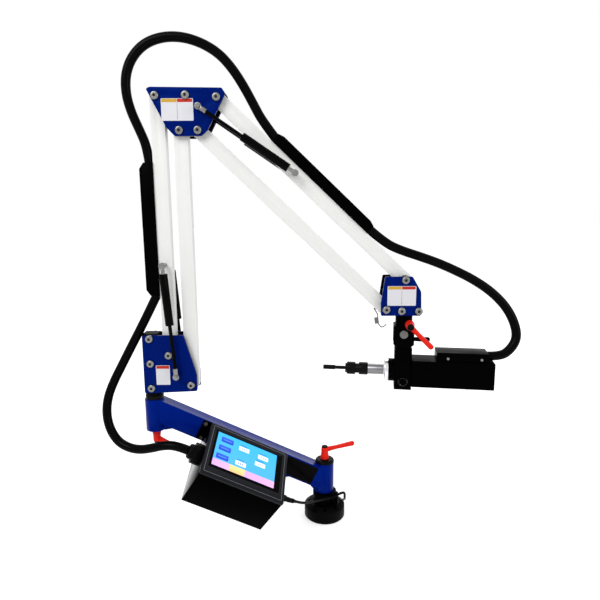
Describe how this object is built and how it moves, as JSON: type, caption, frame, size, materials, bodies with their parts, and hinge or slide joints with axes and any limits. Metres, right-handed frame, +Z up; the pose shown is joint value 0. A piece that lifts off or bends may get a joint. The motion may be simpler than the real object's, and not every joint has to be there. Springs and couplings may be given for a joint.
{
  "type": "arm tapping machine",
  "caption": "Tapping arm on a round base: a swinging lower arm with a control box, a two-stage balanced parallelogram arm, and a swivelling, tilting motor head with a tap chuck.",
  "frame": {"origin": "centre of the round base's underside, on the bench", "axes": "+Z up, +X towards the tool side of the arms, -Y towards the control box's side; both parallelogram arms lie in one plane across Y"},
  "size_m": [0.9332, 0.4174, 1.1195],
  "materials": {
    "blue_paint": "gloss powder coat",
    "white_paint": "gloss powder coat",
    "black_paint": "satin powder coat",
    "steel": "brushed",
    "bright_ring": "polished",
    "dark_steel": "blackened",
    "red_plastic": "moulded",
    "black_plastic": "moulded",
    "screen_glass": "glossy",
    "black_hose": "smooth",
    "bush_bronze": "sintered",
    "drive_case": "moulded",
    "motor_case": "black anodised"
  },
  "bodies": {
    "base": {"base_flange": "black_paint", "base_collar": "black_paint", "base_post": "steel", "stop_peg": "dark_steel", "power_cord": "black_hose", "cord_coil": "black_hose", "power_plug": "black_plastic"},
    "base_clamp": {"base_lever": "red_plastic"},
    "swing_arm": {"swing_tube": "blue_paint", "base_boss": "blue_paint", "column_boss": "blue_paint", "arm_bushes": "bush_bronze", "boss_cap": "black_plastic", "box_bracket": "black_paint", "box_screws": "steel", "box_shell": "black_paint", "screen_bezel": "black_plastic", "screen_panel": "screen_glass", "servo_drive": "drive_case", "hose_gland": "black_plastic", "power_gland": "black_plastic", "lower_hose": "black_hose"},
    "column_clamp": {"column_lever": "red_plastic"},
    "column": {"column_shaft": "steel", "thrust_bearing": "dark_steel", "column_block": "black_paint", "lower_plates": "blue_paint", "lower_bolts": "steel"},
    "lower_main_bar": {"lower_bar_outer": "white_paint", "lower_trunk": "black_plastic"},
    "lower_second_bar": {"lower_bar_inner": "white_paint"},
    "elbow": {"middle_plates": "blue_paint", "middle_bolts": "steel", "top_hose": "black_hose"},
    "upper_main_bar": {"upper_bar_outer": "white_paint", "upper_trunk": "black_plastic", "head_hose": "black_hose"},
    "upper_second_bar": {"upper_bar_inner": "white_paint"},
    "end_bracket": {"end_plates": "blue_paint", "end_bolts": "steel", "swivel_post": "black_paint"},
    "hanging_hook": {"cable_hook": "steel"},
    "swivel_block": {"clamp_block": "black_paint", "pivot_bolt": "steel"},
    "swivel_clamp": {"head_lever": "red_plastic"},
    "tilt_clamp": {"tilt_lever": "black_plastic"},
    "tapping_head": {"head_plate": "black_paint", "bearing_flange": "black_paint", "motor_body": "motor_case", "terminal_box": "motor_case"},
    "spindle": {"lock_ring": "bright_ring", "spindle_shaft": "steel", "chuck_body": "dark_steel", "tap": "dark_steel"},
    "chuck_release": {"chuck_sleeve": "dark_steel"},
    "lower_rods": {"lower_spring_rods": "steel"},
    "lower_cylinders": {"lower_spring_cylinders": "dark_steel"},
    "upper_rods": {"upper_spring_rods": "steel"},
    "upper_cylinders": {"upper_spring_cylinders": "dark_steel"}
  },
  "joints": [
    {"name": "base_swing", "type": "hinge", "parent": "base", "child": "swing_arm", "pos_m": [0, 0, 0.1], "axis": [0, 0, 1], "range_deg": [-170, 100], "deforming": ["power_cord"]},
    {"name": "base_clamp_turn", "type": "hinge", "parent": "base", "child": "base_clamp", "pos_m": [0, 0, 0.16], "axis": [0, 0, 1], "range_deg": [-90, 90]},
    {"name": "column_swing", "type": "hinge", "parent": "swing_arm", "child": "column", "pos_m": [-0.3938, -0.07015, 0.34], "axis": [0, 0, 1], "range_deg": [-160, 160]},
    {"name": "column_clamp_turn", "type": "hinge", "parent": "column", "child": "column_clamp", "pos_m": [-0.3938, -0.07015, 0.24], "axis": [0, 0, 1], "range_deg": [0, 90]},
    {"name": "lower_arm", "type": "hinge", "parent": "column", "child": "lower_main_bar", "pos_m": [-0.3514, -0.07015, 0.44018], "axis": [0, 1, 0], "range_deg": [-10, 50], "deforming": ["lower_hose"]},
    {"name": "lower_link_turn", "type": "hinge", "parent": "column", "child": "lower_second_bar", "pos_m": [-0.3037, -0.07015, 0.37138], "axis": [0, 1, 0], "range_deg": [-12, 52]},
    {"name": "elbow_level", "type": "hinge", "parent": "lower_main_bar", "child": "elbow", "pos_m": [-0.35505, -0.07015, 0.99017], "axis": [0, 1, 0], "range_deg": [-52, 12]},
    {"name": "upper_arm", "type": "hinge", "parent": "elbow", "child": "upper_main_bar", "pos_m": [-0.22865, -0.07015, 0.98657], "axis": [0, 1, 0], "range_deg": [-55, 12], "deforming": ["top_hose"]},
    {"name": "upper_link_turn", "type": "hinge", "parent": "elbow", "child": "upper_second_bar", "pos_m": [-0.26895, -0.07015, 0.92157], "axis": [0, 1, 0], "range_deg": [-57, 14]},
    {"name": "bracket_level", "type": "hinge", "parent": "upper_main_bar", "child": "end_bracket", "pos_m": [0.16998, -0.07015, 0.60763], "axis": [0, 1, 0], "range_deg": [-14, 57]},
    {"name": "hook_level", "type": "hinge", "parent": "upper_second_bar", "child": "hanging_hook", "pos_m": [0.10688, -0.07015, 0.54043], "axis": [0, 1, 0], "range_deg": [-14, 57]},
    {"name": "head_swivel", "type": "hinge", "parent": "end_bracket", "child": "swivel_block", "pos_m": [0.17268, -0.07015, 0.52], "axis": [0, 0, 1], "range_deg": [-75, 90], "deforming": ["head_hose"]},
    {"name": "swivel_clamp_turn", "type": "hinge", "parent": "swivel_block", "child": "swivel_clamp", "pos_m": [0.18456, -0.07182, 0.50973], "axis": [0.1392, 0.9903, 0], "range_deg": [-45, 45]},
    {"name": "tilt_clamp_turn", "type": "hinge", "parent": "swivel_block", "child": "tilt_clamp", "pos_m": [0.17268, -0.07015, 0.46133], "axis": [0.1392, 0.9903, 0], "range_deg": [-45, 45]},
    {"name": "head_tilt", "type": "hinge", "parent": "swivel_block", "child": "tapping_head", "pos_m": [0.17268, -0.07015, 0.48733], "axis": [0.1392, 0.9903, 0], "range_deg": [-90, 0]},
    {"name": "spindle_turn", "type": "hinge", "parent": "tapping_head", "child": "spindle", "pos_m": [0.12316, -0.06319, 0.39983], "axis": [0.9903, -0.1392, 0], "continuous": true},
    {"name": "sleeve_slide", "type": "slide", "parent": "spindle", "child": "chuck_release", "axis": [0.9903, -0.1392, 0], "range_m": [0, 0.008], "stiffness_N_per_m": 500, "springref_m": -0.002},
    {"name": "lower_rods_turn", "type": "hinge", "parent": "column", "child": "lower_rods", "pos_m": [-0.333, -0.07015, 0.39498], "axis": [0, 1, 0], "range_deg": [-9.35, 42.74]},
    {"name": "lower_cylinders_slide", "type": "slide", "parent": "lower_rods", "child": "lower_cylinders", "axis": [-0.0799, 0, 0.9968], "range_m": [-0.02376, 0.00515]},
    {"name": "upper_rods_turn", "type": "hinge", "parent": "elbow", "child": "upper_rods", "pos_m": [-0.26375, -0.07015, 0.96587], "axis": [0, 1, 0], "range_deg": [-49.95, 11.68]},
    {"name": "upper_cylinders_slide", "type": "slide", "parent": "upper_rods", "child": "upper_cylinders", "axis": [0.8288, 0, -0.5596], "range_m": [-0.00629, 0.02704]}
  ],
  "couplings": [
    {"joint": "lower_link_turn", "follows": "lower_arm", "ratio": 1},
    {"joint": "elbow_level", "follows": "lower_arm", "ratio": -1},
    {"joint": "upper_link_turn", "follows": "upper_arm", "ratio": 1},
    {"joint": "bracket_level", "follows": "upper_arm", "ratio": -1},
    {"joint": "hook_level", "follows": "upper_arm", "ratio": -1},
    {"joint": "lower_rods_turn", "follows": "lower_arm", "ratio": 0.8349},
    {"joint": "lower_cylinders_slide", "follows": "lower_arm", "m_per_rad": -0.026652},
    {"joint": "upper_rods_turn", "follows": "upper_arm", "ratio": 0.89},
    {"joint": "upper_cylinders_slide", "follows": "upper_arm", "m_per_rad": -0.027646}
  ]
}
